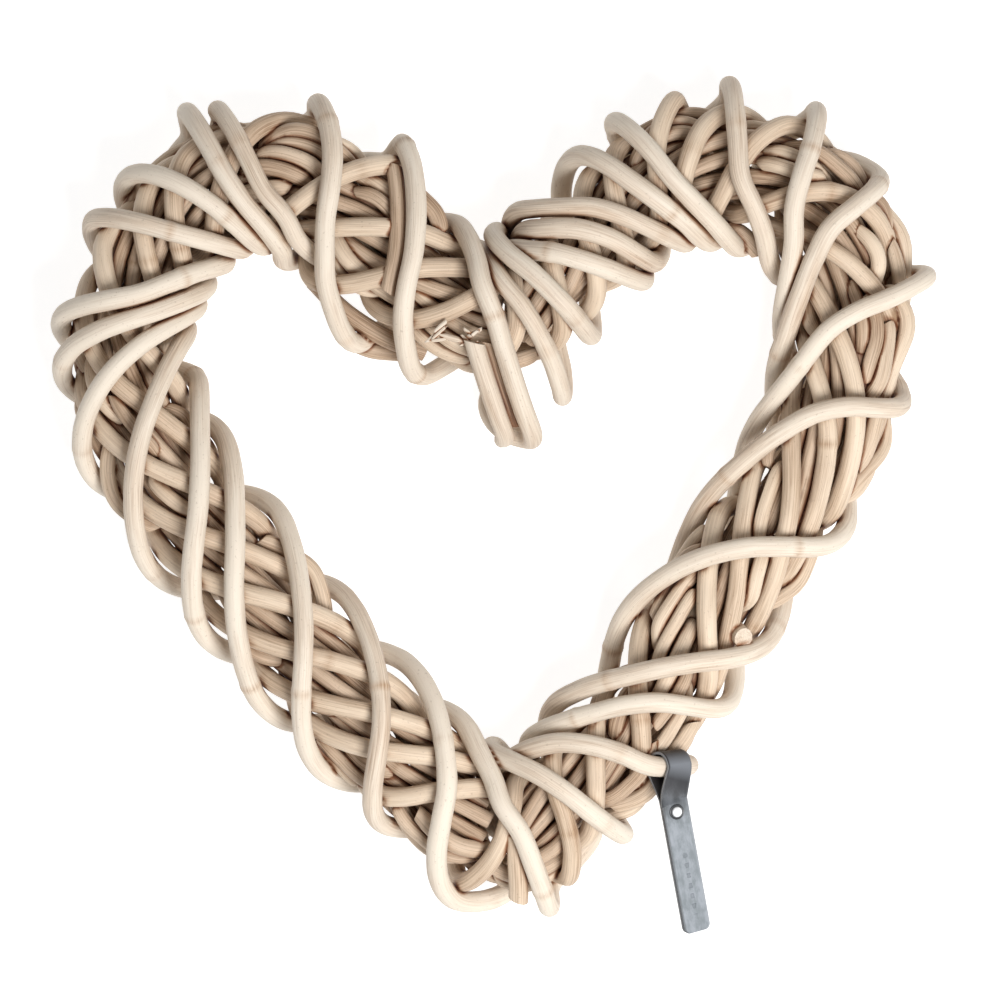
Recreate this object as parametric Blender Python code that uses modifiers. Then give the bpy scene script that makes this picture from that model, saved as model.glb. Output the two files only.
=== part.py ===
"""Heart-shaped wreath of rattan canes with a leather tag, lying on its back.

Each half of the heart is a bundle of core canes, cut off where the halves meet. Under-canes
wind round both bundles, crossing the front from the inner edge to the outer edge. Wrap canes
wind over them in the other hand. Every wound cane starts and ends tucked in at the back.
Working units are millimetres until the objects are made. +X is the wreath's right, +Y its top
and +Z its front. A place on the wreath is a station, in hundredths of the way round the heart
clockwise from the bottom tip, with an angle round the bundle.
"""
import math

import bmesh
import bpy
import numpy as np
from mathutils import Matrix

MM = 0.001

# Heart guide: the line through the middle of the bundle, clockwise from the bottom tip
HEART_GUIDE = [
    (4, -176), (-40, -145), (-91, -92), (-137, -40), (-172, 8), (-195, 52), (-202, 91),
    (-192, 128), (-172, 156), (-144, 173), (-110, 175), (-82, 161), (-56, 140), (-26, 116),
    (3, 103), (33, 124), (61, 156), (95, 178), (132, 182), (163, 169), (184, 140),
    (190, 99), (183, 52), (162, 9), (136, -29), (109, -67), (83, -108), (47, -147),
]
MIDDLE_X = 3.0              # the plane where the two halves meet, at the tip and the cleft
CORNER = 2.4                # stations from that plane within which a bundle runs straight
MITRE_GAP = 4.8             # from that plane to the middle of a cane's end

CORE_CANES = 8              # in each half's bundle
CORE_RADIUS = 4.4
CORE_WIDE = 11.8            # from the guide to a core cane's middle, across the bundle
CORE_DEEP = 12.0            # and front to back
CORE_TWIST = -13.0          # degrees a station
CORE_WANDER = 12.0          # degrees by which a core cane strays from an even lay
CORE_LIFT = 0.8             # and millimetres
UNDER_RING = 23.5           # from the guide to an under-cane's middle at the front
WRAP_RING = 34.0            # and to a wrap cane's
GAP = 0.35                  # kept between neighbouring canes
BACK = -39.5                # the furthest back that a cane's middle line goes
FRONT = 40.5                # and the furthest forward

CORE_STEP = 33.0            # from ring to ring along a cane
UNDER_STEP = 18.5
WRAP_STEP = 17.5

# Crossings of the front by the wrap canes, in order round the heart: the stations at the
# outer edge, at the middle of the front and at the inner edge, how far the turns reach out
# and in, and how far the cane has gone on when it is halfway down from the inner edge
CROSSINGS = [
    (99.4, 99.3, 104.5, 48, 33),
    (0.6, 3.0, 8.0, 37, 33),
    (4.0, 6.8, 12.2, 33, 34),
    (7.3, 11.7, 17.3, 37, 36),
    (10.9, 16.4, 21.8, 35, 35),
    (14.9, 19.1, 25.0, 32, 35),
    (18.8, 23.8, 28.6, 33, 34),
    (23.4, 27.2, 31.2, 36, 35),
    (26.9, 28.7, 31.6, 32, 35),
    (28.3, 29.6, 34.0, 33, 35),
    (31.7, 33.0, 35.8, 27, 34),
    (33.7, 35.5, 38.3, 30, 33),
    (36.0, 36.5, 40.2, 44, 34),
    (36.7, 37.7, 42.7, 42, 33),
    (39.4, 41.0, 46.1, 42, 57, 0.8),
    (42.2, 45.8, 48.7, 41, 45, 0.6),
    (46.9, 50.5, 50.6, 27, 73, -0.5),
    (49.2, 51.3, 51.0, 27, 57, 0.2),
    (50.4, 52.1, 52.5, 27, 32),
    (52.4, 54.6, 56.2, 24, 30),
    (53.1, 55.8, 57.2, 24, 31),
    (53.2, 56.9, 60.0, 37, 36),
    (57.2, 58.7, 61.5, 36, 38),
    (59.3, 60.2, 64.0, 41, 37),
    (62.5, 63.0, 68.2, 46, 36),
    (65.0, 65.9, 72.2, 41, 32),
    (67.4, 68.1, 74.6, 36, 32),
    (70.8, 72.2, 78.4, 45, 31),
    (75.2, 76.1, 82.5, 33, 34),
    (80.5, 83.1, 88.7, 32, 35),
    (85.8, 89.3, 94.0, 34, 34),
    (89.5, 91.3, 96.6, 30, 33),
    (92.8, 94.1, 98.1, 38, 35),
    (96.2, 96.9, 99.4, 40, 35),
]
# Crossings of the front by the under-canes: the stations at the inner edge, at the middle of
# the front and at the outer edge, and how far the turns reach in and out
UNDER_CROSSINGS = [
    (98.2, 99.9, 100.6, 22.5, 38),
    (0.6, 3.3, 5.6, 22.5, 25.5),
    (1.8, 5.4, 9.6, 22.5, 25.5),
    (4.0, 8.2, 12.6, 22.5, 25.5),
    (7.0, 11.4, 16.0, 23.5, 25.5),
    (10.6, 15.0, 19.4, 23.5, 24.5),
    (14.0, 18.2, 22.6, 23.5, 24.5),
    (17.2, 21.6, 26.0, 23.5, 23.5),
    (20.6, 25.4, 29.6, 22.5, 24.5),
    (24.8, 28.8, 32.4, 22.5, 23),
    (28.2, 31.8, 34.8, 22.5, 22.5),
    (31.2, 33.8, 36.2, 22.5, 25.5),
    (34.0, 36.4, 39.2, 22.5, 33),
    (38.0, 40.3, 42.6, 22.5, 38),
    (40.2, 43.6, 47.2, 25.5, 25.5),
    (42.4, 46.0, 49.4, 36, 22.5),
    (45.6, 48.6, 50.6, 36, 22.5),
    (49.6, 50.9, 52.0, 23.5, 22.5),
    (51.6, 53.2, 55.0, 24.5, 22.5),
    (53.4, 55.4, 57.6, 22.5, 24.5),
    (55.6, 57.4, 59.0, 22.5, 25.5),
    (57.4, 59.3, 61.0, 22.5, 40),
    (58.8, 60.7, 62.8, 22.5, 28.5),
    (61.2, 62.9, 65.2, 22.5, 28.5),
    (63.4, 66.0, 69.2, 22.5, 27.5),
    (65.6, 69.4, 73.4, 22.5, 26.5),
    (68.4, 73.6, 80.0, 22.5, 24.5),
    (72.2, 77.0, 83.6, 23.5, 23.5),
    (75.6, 80.4, 86.4, 25.5, 23.5),
    (79.6, 84.4, 89.8, 24.5, 23.5),
    (82.8, 87.0, 91.2, 24.5, 23.5),
    (88.4, 92.2, 94.9, 23.5, 25.5),
    (92.0, 94.9, 97.4, 22.5, 25.5),
    (95.4, 97.4, 98.9, 22.5, 40),
]
STARTS = 4                  # canes wound side by side, so a cane's next crossing is 4 on
# Each wrap cane: its first crossing, how many it makes, its radius and how high it lies
WRAPS = [
    (1, 3, 5.6, 0.6), (13, 3, 5.7, 0.8), (25, 3, 5.5, 0.0),
    (3, 3, 5.4, 0.2), (15, 3, 5.7, 1.6), (27, 2, 5.6, 1.0),
    (2, 3, 5.7, 0.9), (14, 3, 5.3, 0.3), (26, 3, 5.6, 0.6),
    (4, 3, 5.5, 0.0), (16, 3, 5.6, 1.2), (28, 2, 5.4, 0.3),
]
UNDERS = [
    (1, 4, 5.4, 0.3), (17, 5, 5.3, 0.0), (2, 5, 5.5, 0.8), (22, 4, 5.2, 0.6),
    (3, 4, 5.3, 0.0), (19, 4, 5.5, 0.9), (4, 4, 5.4, 0.5), (20, 4, 5.3, 0.2),
]
# Leather tag: a strap folded over one outer wrap, both halves hanging, held by a snap
TAG_OVER = (92.0, -143.5)   # where its fold lies on the cane
STRAP_WIDTH = 15.4
STRAP_THICK = 1.6
STRAP_GAP = 0.35            # between the two halves
STRAP_STEP = 3.2
STRAP_CLEAR = 2.0           # from the fold to the cane's surface
STRAP_CORNER = 3.5          # rounding at the ends
STRAP_COLUMNS = 4           # faces across the strap
TAG_SNAP = (96.8, -166.9, 25.5)
TAG_END = (108.9, -232.6, 13.0)
# How far down from the snap the hanging halves' knots are, and how far they stand apart
STRAP_HANG = [(1.0, 1.0), (0.8, 1.0), (0.6, 1.0), (0.4, 1.0), (0.2, 1.0), (0.1, 1.0),
              (0.0, 1.0), (-0.07, 1.05), (-0.14, 2.4)]
TAG_TURN = 9.0              # degrees by which the strap's width points up to the right
TAG_DIP = 20.0              # and away from the front
SNAP_RADIUS = 4.6
SNAP_HIGH = 1.7
SNAP_POST = 1.5
SNAP_HOLE = 1.85
SNAP_BACK_RADIUS = 4.0
SNAP_BACK_THICK = 1.1
SNAP_STEPS = 16             # faces round a turned piece
FIT = 0.3                   # between the snap's pieces and the strap

TUCK = 0.55                 # stations by which a tucked end steps aside at the back
FAR_TURN = 38               # a turn that reaches this far out comes straight back


def smooth_closed(points, per_span=40):
    """A closed Catmull-Rom curve through the points."""
    p = np.array(points, float)
    out = []
    for i in range(len(p)):
        a, b, c, d = (p[(i + k) % len(p)] for k in (-1, 0, 1, 2))
        for t in np.arange(per_span) / per_span:
            out.append(0.5 * (2 * b + (c - a) * t + (2 * a - 5 * b + 4 * c - d) * t * t
                              + (3 * b - a - 3 * c + d) * t ** 3))
    return np.array(out)


def smooth_open(points, per_span=12):
    """An open Catmull-Rom curve through the points."""
    p = np.array(points, float)
    p = np.vstack([2 * p[:1] - p[1:2], p, 2 * p[-1:] - p[-2:-1]])
    out = []
    for i in range(1, len(p) - 2):
        a, b, c, d = p[i - 1], p[i], p[i + 1], p[i + 2]
        for t in np.arange(per_span) / per_span:
            out.append(0.5 * (2 * b + (c - a) * t + (2 * a - 5 * b + 4 * c - d) * t * t
                              + (3 * b - a - 3 * c + d) * t ** 3))
    return np.vstack([out, p[-2:-1]])


class Guide:
    """The heart's middle line, read by station."""

    def __init__(self, points):
        line = smooth_closed(points)
        self.line = np.vstack([line, line[:1]])
        steps = np.linalg.norm(np.diff(self.line, axis=0), axis=1)
        self.run = np.concatenate([[0.0], np.cumsum(steps)])
        self.length = self.run[-1]

    def place(self, station):
        at = (np.asarray(station, float) % 100.0) / 100.0 * self.length
        return np.stack([np.interp(at, self.run, self.line[:, k]) for k in (0, 1)], -1)

    def outward(self, station, reach=0.55):
        ahead = self.place(np.asarray(station) + reach)
        behind = self.place(np.asarray(station) - reach)
        way = ahead - behind
        way /= np.linalg.norm(way, axis=-1, keepdims=True)
        return np.stack([-way[..., 1], way[..., 0]], -1)


GUIDE = Guide(HEART_GUIDE)


def resample(path, step):
    """Points at even spacing along a path, both ends kept."""
    steps = np.linalg.norm(np.diff(path, axis=0), axis=1)
    run = np.concatenate([[0.0], np.cumsum(steps)])
    count = max(3, int(round(run[-1] / step)) + 1)
    at = np.linspace(0.0, run[-1], count)
    return np.stack([np.interp(at, run, path[:, k]) for k in range(3)], -1)


def eased(x, y, at):
    """A smooth curve through knots that never overshoots them."""
    x, y = np.array(x, float), np.array(y, float)
    h = np.diff(x)
    slope = np.diff(y) / h
    rate = np.zeros(len(x))
    for k in range(1, len(x) - 1):
        if slope[k - 1] * slope[k] > 0:
            w1, w2 = 2 * h[k] + h[k - 1], h[k] + 2 * h[k - 1]
            rate[k] = (w1 + w2) / (w1 / slope[k - 1] + w2 / slope[k])
    rate[0], rate[-1] = slope[0], slope[-1]
    k = np.clip(np.searchsorted(x, at) - 1, 0, len(h) - 1)
    t = (at - x[k]) / h[k]
    return ((1 + 2 * t) * (1 - t) ** 2 * y[k] + t * (1 - t) ** 2 * h[k] * rate[k]
            + t * t * (3 - 2 * t) * y[k + 1] + t * t * (t - 1) * h[k] * rate[k + 1])


def half_guide(first, last):
    """One half's middle line with straight ends, and its outward directions."""
    station = np.linspace(first + CORNER, last - CORNER, 400)
    place, outward = GUIDE.place(station), GUIDE.outward(station)
    for end, beyond in ((0, -1), (-1, 1)):
        side = outward[end]
        way = np.array([side[1], -side[0]]) * beyond
        steps = np.arange(1, 81)[:, None] * (GUIDE.length / 100 / 20)
        more = place[end] + steps * way
        more_station = station[end] + beyond * steps[:, 0] / (GUIDE.length / 100)
        more_out = np.repeat(side[None], len(more), 0)
        if beyond < 0:
            place, outward = np.vstack([more[::-1], place]), np.vstack([more_out, outward])
            station = np.concatenate([more_station[::-1], station])
        else:
            place, outward = np.vstack([place, more]), np.vstack([outward, more_out])
            station = np.concatenate([station, more_station])
    return station, place, outward


def laid_cane(half, number):
    """A core cane laid along one half's bundle, cut off at the plane where the halves meet."""
    station, place, outward = half_guide(*((0, 50) if half == "left" else (50, 100)))
    phase = 2.4 * number + (0.0 if half == "left" else 1.1)
    stray = np.sin(station / 3.7 + phase) + 0.6 * np.sin(station / 1.9 + 1.7 * phase)
    start = 20 + 360 / CORE_CANES * number
    angle = np.radians(start + CORE_TWIST * (station - 50) + CORE_WANDER * stray)
    lift = CORE_LIFT * (1 + np.sin(station / 2.9 + 2.2 * phase))
    x_y = place + ((CORE_WIDE + lift) * np.cos(angle))[:, None] * outward
    path = np.column_stack([x_y, (CORE_DEEP + lift) * np.sin(angle)])
    side = -1 if half == "left" else 1
    inside = np.flatnonzero(side * (path[:, 0] - MIDDLE_X) >= MITRE_GAP)
    return {"points": resample(path[inside[0]:inside[-1] + 1], CORE_STEP), "radius": CORE_RADIUS}


def wound_cane(crossings, first, count, radius, lift, ring, step, from_outer):
    """A cane wound round the bundles, from one tucked end at the back to the other.

    The angle grows along the cane from the edge where it comes to the front, 0, over the
    front, 90, to the other edge, 180, and on round the back.
    """
    total = len(crossings)

    def crossing(number):
        turns, index = divmod(number - 1, total)
        row = list(crossings[index])
        if index == 0 and row[0] > 90:
            row[:3] = [value - 100 for value in row[:3]]
        row[:3] = [value + 100 * turns for value in row[:3]]
        return row

    rows = [crossing(first + turn * STARTS) for turn in range(-1, count + 1)]
    knots = []
    for turn in range(1, count + 1):
        row, before, after = rows[turn], rows[turn - 1], rows[turn + 1]
        base = 360 * (turn - 1)
        come, go = row[0] - before[2], after[0] - row[2]
        if turn == 1:
            knots.append((base - 125, row[0] - 0.75 * come + TUCK))
            knots.append((base - 60, row[0] - 0.33 * come))
        if from_outer and row[3] >= FAR_TURN:
            knots.append((base - 40, row[0] - 0.1))
        knots += [(base, row[0]), (base + 90, row[1]), (base + 180, row[2])]
        if not from_outer and row[4] >= FAR_TURN:
            knots.append((base + 220, row[2] + 0.1))
        if len(row) > 5:
            knots.append((base + 225, row[2] + row[5]))
        if turn == count:
            knots.append((base + 240, row[2] + 0.33 * go))
            knots.append((base + 305, row[2] + 0.75 * go - TUCK))
    knots = sorted(dict(knots).items())
    turn_angle, station = (np.array(c, float) for c in zip(*knots))
    angle = np.arange(turn_angle[0], turn_angle[-1] + 0.1, 3.0)
    station = eased(turn_angle, station, angle)
    come_row = np.clip(((angle + 90) // 360).astype(int), 0, count - 1) + 1
    go_row = np.clip((angle // 360).astype(int), 0, count - 1) + 1
    across = np.cos(np.radians(angle))
    come_reach = np.array([rows[k][3] for k in come_row])
    go_reach = np.array([rows[k][4] for k in go_row])
    reach = np.where(across > 0, come_reach, go_reach) + lift
    side = 1.0 if from_outer else -1.0
    x_y = GUIDE.place(station) + (side * reach * across)[:, None] * GUIDE.outward(station)
    path = np.column_stack([x_y, (ring + lift) * np.sin(np.radians(angle))])
    return {"points": resample(path, step), "radius": radius}


def nearest(p1, q1, p2, q2):
    """How far along two sets of segments their nearest points are."""
    d1, d2, r = q1 - p1, q2 - p2, p1 - p2
    a, e = (d1 * d1).sum(1), (d2 * d2).sum(1)
    b, c, f = (d1 * d2).sum(1), (d1 * r).sum(1), (d2 * r).sum(1)
    denominator = np.maximum(a * e - b * b, 1e-9)
    s = np.clip((b * f - c * e) / denominator, 0, 1)
    t = np.clip((b * s + f) / e, 0, 1)
    s = np.clip((b * t - c) / a, 0, 1)
    return s, t


def near_pairs(points, start, owner, order, radius, margin):
    """Pairs of segments that come near each other."""
    low, high = points[start], points[start + 1]
    middle = 0.5 * (low + high)
    size = 0.5 * np.linalg.norm(high - low, axis=1) + radius
    first, second = [], []
    for k in range(len(start) - 1):
        apart = np.linalg.norm(middle[k + 1:] - middle[k], axis=1)
        near = apart < size[k + 1:] + size[k] + margin
        same = (owner[k + 1:] == owner[k]) & (order[k + 1:] - order[k] < 4)
        same |= (owner[k + 1:] < 0) & (owner[k] < 0)
        found = np.flatnonzero(near & ~same) + k + 1
        first.append(np.full(len(found), k))
        second.append(found)
    return np.concatenate(first), np.concatenate(second)


def settle(canes, bars=(), rounds=700):
    """Push the canes apart until none overlap, and keep each one smooth.

    The bars, pairs of points with a radius, stay where they are and push the canes too.
    """
    chains = [(cane["points"], cane["radius"]) for cane in canes] + list(bars)
    points = np.vstack([chain for chain, _ in chains])
    home = points.copy()
    start, owner, order, radius, inner, ends = [], [], [], [], [], []
    base = 0
    for number, (chain, thickness) in enumerate(chains):
        count = len(chain)
        start += list(range(base, base + count - 1))
        owner += [number if number < len(canes) else -1] * (count - 1)
        order += list(range(count - 1))
        radius += [thickness] * (count - 1)
        if number < len(canes):
            inner += list(range(base + 1, base + count - 1))
            ends += [(base, base + 1), (base + count - 1, base + count - 2)]
            free = base + count
        base += count
    start, owner, order, radius, inner = map(np.array, (start, owner, order, radius, inner))
    ends = np.array(ends)
    for turn in range(rounds):
        if turn % 10 == 0:
            i, j = near_pairs(points, start, owner, order, radius, 5.0)
            need = radius[i] + radius[j] + GAP
        a, b, c, d = start[i], start[i] + 1, start[j], start[j] + 1
        s, t = nearest(points[a], points[b], points[c], points[d])
        one = points[a] + s[:, None] * (points[b] - points[a])
        two = points[c] + t[:, None] * (points[d] - points[c])
        apart = one - two
        distance = np.maximum(np.linalg.norm(apart, axis=1), 1e-6)
        close = distance < need
        push = 0.5 * (need - distance)[close, None] * apart[close] / distance[close, None]
        move, weight = np.zeros_like(points), np.zeros(len(points))
        sides = ((a, 1 - s, 1), (b, s, 1), (c, 1 - t, -1), (d, t, -1))
        square = {1: (1 - s) ** 2 + s ** 2, -1: (1 - t) ** 2 + t ** 2}
        for index, share, sign in sides:
            part = (share / square[sign])[close]
            np.add.at(move, index[close], sign * part[:, None] * push)
            np.add.at(weight, index[close], share[close])
        points = points + 0.9 * move / np.maximum(weight, 1.0)[:, None]
        points[:, 2] = np.clip(points[:, 2], BACK, FRONT)
        points[free:] = home[free:]
        if turn < rounds - 120:
            shift = points - home
            shift[inner] += 0.15 * (0.5 * (shift[inner - 1] + shift[inner + 1]) - shift[inner])
            shift[ends[:, 0]] += 0.15 * (shift[ends[:, 1]] - shift[ends[:, 0]])
            points = home + 0.998 * shift
    base = 0
    for cane in canes:
        count = len(cane["points"])
        cane["points"] = points[base:base + count]
        base += count


def unit(vector):
    return vector / np.linalg.norm(vector)


def strap_side(turn, dip):
    """The strap's width direction, turned up to the right and dipped away from the front."""
    turn, dip = math.radians(turn), math.radians(dip)
    return np.array([math.cos(turn) * math.cos(dip), math.sin(turn) * math.cos(dip),
                     -math.sin(dip)])


def carrier(canes):
    """The place on the outer wraps under the tag's fold, the cane's direction and radius."""
    best = None
    for cane in canes:
        if not cane["name"].startswith("wrap"):
            continue
        fine = resample(smooth_open(cane["points"]), 1.0)
        front = np.where(fine[:, 2] > 0, 0.0, 1e3)
        away = np.hypot(fine[:, 0] - TAG_OVER[0], fine[:, 1] - TAG_OVER[1]) + front
        k = int(np.argmin(away))
        if best is None or away[k] < best[0]:
            way = unit(fine[k + 2] - fine[k - 2])
            best = (away[k], fine[k], way if way[0] > 0 else -way, cane["radius"])
    return best[1:]


def strap_path(canes):
    """Rows along the strap, from the front half's end over the fold to the back half's.

    Each row is the strap's middle, its width direction and its outward normal.
    """
    middle, way, radius = carrier(canes)
    snap, end = np.array(TAG_SNAP), np.array(TAG_END)
    side = strap_side(TAG_TURN, TAG_DIP)
    up = unit(snap - end)
    side = unit(side - side @ up * up)
    half = 0.5 * (STRAP_THICK + STRAP_GAP) * np.cross(side, up)
    high = unit(np.array([0.0, 1.0, 0.0]) - way[1] * way)
    front = np.cross(way, high)
    ring = radius + STRAP_CLEAR + 0.5 * STRAP_THICK
    knots, sides = [], []
    for share, spread in STRAP_HANG:
        knots.append(snap + share * (end - snap) + spread * half)
        sides.append(side)
    for angle in (-10, 20, 50, 80, 110, 140, 170, 195):
        turn = math.radians(angle)
        knots.append(middle + ring * (math.cos(turn) * front + math.sin(turn) * high))
        sides.append(unit(0.35 * side + 0.65 * way))
    for share, spread in reversed(STRAP_HANG):
        knots.append(snap + share * (end - snap) - spread * half)
        sides.append(side)
    both = np.hstack([np.array(knots), 1e-3 * np.array(sides)])
    fine = smooth_open(both)
    steps = np.linalg.norm(np.diff(fine[:, :3], axis=0), axis=1)
    run = np.concatenate([[0.0], np.cumsum(steps)])
    at = np.linspace(0.0, run[-1], int(round(run[-1] / STRAP_STEP)) + 1)
    rows = np.stack([np.interp(at, run, fine[:, k]) for k in range(6)], -1)
    place = rows[:, :3]
    ahead = np.gradient(place, axis=0)
    out = []
    for spot, wide, onward in zip(place, rows[:, 3:], ahead):
        onward = unit(onward)
        wide = unit(wide - wide @ onward * onward)
        out.append((spot, wide, np.cross(wide, onward)))
    return out


def lay_canes():
    """Every cane of the wreath, settled against its neighbours, and the rows of the tag's strap."""
    canes = []
    for half in ("left", "right"):
        for k in range(CORE_CANES):
            cane = laid_cane(half, k)
            cane["name"] = f"core_cane_{half}_{k + 1}"
            canes.append(cane)
    for number, plan in enumerate(UNDERS):
        cane = wound_cane(UNDER_CROSSINGS, *plan, UNDER_RING, UNDER_STEP, False)
        cane["name"] = f"under_cane_{number + 1:02d}"
        canes.append(cane)
    for number, plan in enumerate(WRAPS):
        cane = wound_cane(CROSSINGS, *plan, WRAP_RING, WRAP_STEP, True)
        cane["name"] = f"wrap_cane_{number + 1:02d}"
        canes.append(cane)
    settle(canes)
    rows = strap_path(canes)
    bars = []
    for spot, side, normal in rows:
        reach = 0.5 * STRAP_WIDTH * side
        bars.append((np.array([spot - reach, spot + reach]), 0.5 * STRAP_THICK + GAP))
    settle(canes, bars, 400)
    return canes, rows


# ---- objects
def clear_scene():
    for thing in list(bpy.data.objects):
        bpy.data.objects.remove(thing, do_unlink=True)


def new_collection(name):
    collection = bpy.data.collections.new(name)
    bpy.context.scene.collection.children.link(collection)
    return collection


def new_material(name, colour, roughness, metallic=0.0):
    material = bpy.data.materials.new(name)
    material.use_nodes = True
    shader = material.node_tree.nodes["Principled BSDF"]
    shader.inputs["Base Color"].default_value = (*colour, 1.0)
    shader.inputs["Roughness"].default_value = roughness
    shader.inputs["Metallic"].default_value = metallic
    return material


def add_object(name, data, collection, parent, material=None):
    thing = bpy.data.objects.new(name, data)
    collection.objects.link(thing)
    thing.parent = parent
    if material:
        data.materials.append(material)
    return thing


def add_cane(cane, collection, parent, material):
    """A cane as a tube with flat cut ends along its settled points."""
    curve = bpy.data.curves.new(cane["name"], "CURVE")
    curve.dimensions = "3D"
    curve.bevel_depth = cane["radius"] * MM
    curve.bevel_resolution = 1
    curve.use_fill_caps = True
    spline = curve.splines.new("POLY")
    spline.points.add(len(cane["points"]) - 1)
    for spot, place in zip(spline.points, cane["points"] * MM):
        spot.co = (*place, 1.0)
    spline.use_smooth = True
    return add_object(cane["name"], curve, collection, parent, material)


def strap_half_width(run, length):
    """Half the strap's width at a distance along it, less at the rounded corners."""
    edge = min(run, length - run)
    cut = 0.0
    if edge < STRAP_CORNER:
        cut = STRAP_CORNER - math.sqrt(STRAP_CORNER ** 2 - (STRAP_CORNER - edge) ** 2)
    return 0.5 * STRAP_WIDTH - cut


def add_strap(rows, collection, parent, material):
    """The folded strap: a grid laid along its path, given its thickness."""
    last = len(rows) - 1
    mesh = bpy.data.meshes.new("tag_strap")
    sheet = bmesh.new()
    bmesh.ops.create_grid(sheet, x_segments=last, y_segments=STRAP_COLUMNS, size=1.0)
    for vertex in sheet.verts:
        k = int(round((vertex.co.x + 1) / 2 * last))
        spot, side, _ = rows[k]
        half = strap_half_width(k * STRAP_STEP, last * STRAP_STEP)
        vertex.co = (spot + vertex.co.y * half * side) * MM
    sheet.to_mesh(mesh)
    sheet.free()
    mesh.shade_smooth()
    strap = add_object("tag_strap", mesh, collection, parent, material)
    wall = strap.modifiers.new("thickness", "SOLIDIFY")
    wall.thickness = STRAP_THICK * MM
    wall.offset = 0.0
    return strap


def snap_matrix():
    """The snap's frame: its axis square to the strap, pointing to the front."""
    up = unit(np.array(TAG_SNAP) - np.array(TAG_END))
    side = strap_side(TAG_TURN, TAG_DIP)
    side = unit(side - side @ up * up)
    front = np.cross(side, up)
    matrix = np.eye(4)
    matrix[:3, 0], matrix[:3, 1], matrix[:3, 2] = side, up, front
    matrix[:3, 3] = np.array(TAG_SNAP) * MM
    return Matrix(matrix.tolist())


def add_turned(name, profile, closed, collection, parent, material):
    """A turned piece from its profile of (radius, height), top to bottom."""
    mesh = bpy.data.meshes.new(name)
    count = len(profile)
    links = [(k, k + 1) for k in range(count - 1)]
    if closed:
        links.append((count - 1, 0))
    mesh.from_pydata([(radius * MM, 0.0, high * MM) for radius, high in profile], links, [])
    piece = add_object(name, mesh, collection, parent, material)
    screw = piece.modifiers.new("turned", "SCREW")
    screw.steps = screw.render_steps = SNAP_STEPS
    screw.use_merge_vertices = True
    screw.merge_threshold = 1e-5
    screw.use_smooth_shade = True
    piece.matrix_local = snap_matrix()
    return piece


def add_snap(collection, cutters, strap, parent, material):
    """The snap: a domed cap with its post through both halves, and a ring behind."""
    face = STRAP_THICK + 0.5 * STRAP_GAP
    low = face + FIT
    back = -low - SNAP_BACK_THICK
    cap = [
        (0.0, low + SNAP_HIGH), (0.55 * SNAP_RADIUS, low + 0.85 * SNAP_HIGH),
        (0.85 * SNAP_RADIUS, low + 0.5 * SNAP_HIGH), (SNAP_RADIUS, low + 0.2 * SNAP_HIGH),
        (SNAP_RADIUS, low), (SNAP_POST, low), (SNAP_POST, back), (0.0, back),
    ]
    add_turned("tag_snap_cap", cap, False, collection, parent, material)
    ring = [(SNAP_BACK_RADIUS, -low), (SNAP_BACK_RADIUS, back), (SNAP_HOLE, back), (SNAP_HOLE, -low)]
    add_turned("tag_snap_ring", ring, True, collection, parent, material)
    mesh = bpy.data.meshes.new("tag_hole")
    hole = bmesh.new()
    bmesh.ops.create_cone(hole, cap_ends=True, segments=SNAP_STEPS, radius1=SNAP_HOLE * MM,
                          radius2=SNAP_HOLE * MM, depth=4 * face * MM)
    hole.to_mesh(mesh)
    hole.free()
    cutter = add_object("tag_hole", mesh, cutters, parent)
    cutter.matrix_local = snap_matrix()
    cutter.hide_render = True
    cutter.display_type = "WIRE"
    cut = strap.modifiers.new("hole", "BOOLEAN")
    cut.operation = "DIFFERENCE"
    cut.object = cutter


def stand_on_origin(parent, pieces):
    """Shift everything so that the middle of the wreath's underside is the origin."""
    bpy.context.view_layer.update()
    graph = bpy.context.evaluated_depsgraph_get()
    corners = []
    for piece in pieces:
        shape = piece.evaluated_get(graph)
        mesh = shape.to_mesh()
        corners += [shape.matrix_world @ vertex.co for vertex in mesh.vertices]
        shape.to_mesh_clear()
    corners = np.array(corners)
    low, high = corners.min(0), corners.max(0)
    parent.location = (-0.5 * (low[0] + high[0]), -0.5 * (low[1] + high[1]), -low[2])
    bpy.context.view_layer.update()


def main():
    clear_scene()
    wreath = new_collection("rattan_heart")
    cutters = new_collection("cutters")
    middle = add_object("wreath_middle", None, wreath, None)
    materials = {
        "core": new_material("rattan_core", (0.42, 0.29, 0.19), 0.7),
        "under": new_material("rattan_under", (0.62, 0.48, 0.34), 0.65),
        "wrap": new_material("rattan_wrap", (0.78, 0.66, 0.52), 0.6),
    }
    leather = new_material("leather", (0.09, 0.10, 0.11), 0.5)
    metal = new_material("snap_metal", (0.62, 0.63, 0.64), 0.25, 1.0)
    canes, rows = lay_canes()
    for cane in canes:
        add_cane(cane, wreath, middle, materials[cane["name"].split("_")[0]])
    strap = add_strap(rows, wreath, middle, leather)
    add_snap(wreath, cutters, strap, middle, metal)
    stand_on_origin(middle, [thing for thing in wreath.objects if thing.type != "EMPTY"])


main()
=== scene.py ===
"""Looks of a heart-shaped wreath of whitewashed rattan canes with a leather tag.

Every packed cane gives the middle line of one rattan rod. A rod is turned out straight, with
its joints and its uneven girth, and is then bent along that line. Lengths are in metres.
"""

import math
import random

import bmesh
import bpy
import numpy as np
from mathutils import Matrix, Vector
from mathutils.bvhtree import BVHTree


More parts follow.
